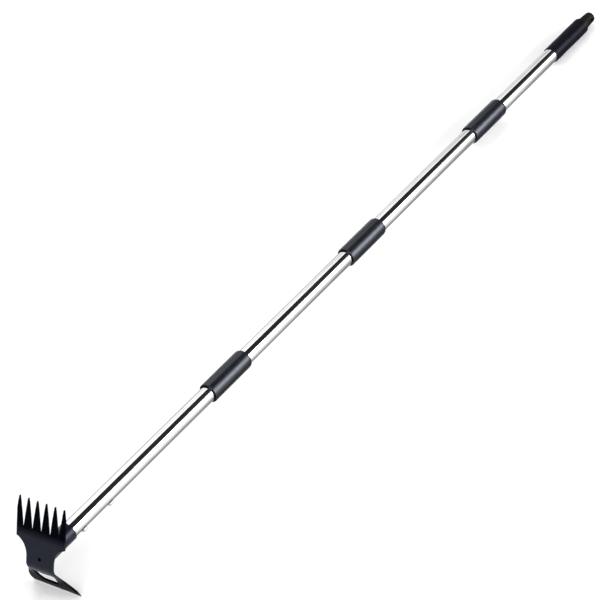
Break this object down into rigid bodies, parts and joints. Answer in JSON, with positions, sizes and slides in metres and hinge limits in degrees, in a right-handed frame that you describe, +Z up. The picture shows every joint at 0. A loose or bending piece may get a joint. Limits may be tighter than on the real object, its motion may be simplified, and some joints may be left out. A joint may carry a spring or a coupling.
{
  "type": "stand up weeder",
  "caption": "Long-handled weeder: a bent steel head with rake tines above and a hollow hoe blade below, on a pole of tubes joined by screw couplings, with a ribbed grip and a hanging tip.",
  "frame": {"origin": "middle of the hoe's cutting edge, where the tool touches the ground", "axes": "+X along the pole from head to grip, +Z up towards the tines' side, Y across the blade"},
  "size_m": [1.4649, 0.0868, 0.1379],
  "materials": {
    "painted_steel": "dark blue-black enamel, satin gloss",
    "stainless_tube": "polished stainless steel",
    "plated_steel": "zinc plated",
    "screw_steel": "bright nickel plated",
    "coupling_plastic": "black injection moulded, semi-gloss",
    "plug_plastic": "black nylon",
    "washer_rubber": "black rubber",
    "grip_plastic": "black ribbed moulding, satin",
    "hanger_plastic": "black moulding, matt"
  },
  "bodies": {
    "head_section": {"head_plate": "painted_steel", "ferrule": "painted_steel", "weld_bead": "painted_steel", "spigot": "plated_steel", "spigot_nuts": "screw_steel", "spigot_screws": "screw_steel", "tube_1": "stainless_tube", "thread_plug_1": "plug_plastic"},
    "washer_1": {"coupling_washer_1": "washer_rubber"},
    "section_2": {"coupling_sleeve_1": "coupling_plastic", "tube_2": "stainless_tube", "thread_plug_2": "plug_plastic"},
    "washer_2": {"coupling_washer_2": "washer_rubber"},
    "section_3": {"coupling_sleeve_2": "coupling_plastic", "tube_3": "stainless_tube", "thread_plug_3": "plug_plastic"},
    "washer_3": {"coupling_washer_3": "washer_rubber"},
    "section_4": {"coupling_sleeve_3": "coupling_plastic", "tube_4": "stainless_tube", "grip_sleeve": "grip_plastic", "hanger_plug": "hanger_plastic"}
  },
  "joints": [
    {"name": "coupling_1_lift", "type": "slide", "parent": "head_section", "child": "washer_1", "axis": [1, 0, 0], "range_m": [0, 0.025]},
    {"name": "coupling_1_turn", "type": "hinge", "parent": "washer_1", "child": "section_2", "pos_m": [0.41166, 0, 0.06294], "axis": [1, 0, 0], "range_deg": [0, 1800]},
    {"name": "coupling_2_lift", "type": "slide", "parent": "section_2", "child": "washer_2", "axis": [1, 0, 0], "range_m": [0, 0.025]},
    {"name": "coupling_2_turn", "type": "hinge", "parent": "washer_2", "child": "section_3", "pos_m": [0.76166, 0, 0.06294], "axis": [1, 0, 0], "range_deg": [0, 1800]},
    {"name": "coupling_3_lift", "type": "slide", "parent": "section_3", "child": "washer_3", "axis": [1, 0, 0], "range_m": [0, 0.025]},
    {"name": "coupling_3_turn", "type": "hinge", "parent": "washer_3", "child": "section_4", "pos_m": [1.11166, 0, 0.06294], "axis": [1, 0, 0], "range_deg": [0, 1800]}
  ],
  "couplings": [
    {"joint": "coupling_1_lift", "follows": "coupling_1_turn", "m_per_rad": 0.00079577},
    {"joint": "coupling_2_lift", "follows": "coupling_2_turn", "m_per_rad": 0.00079577},
    {"joint": "coupling_3_lift", "follows": "coupling_3_turn", "m_per_rad": 0.00079577}
  ]
}
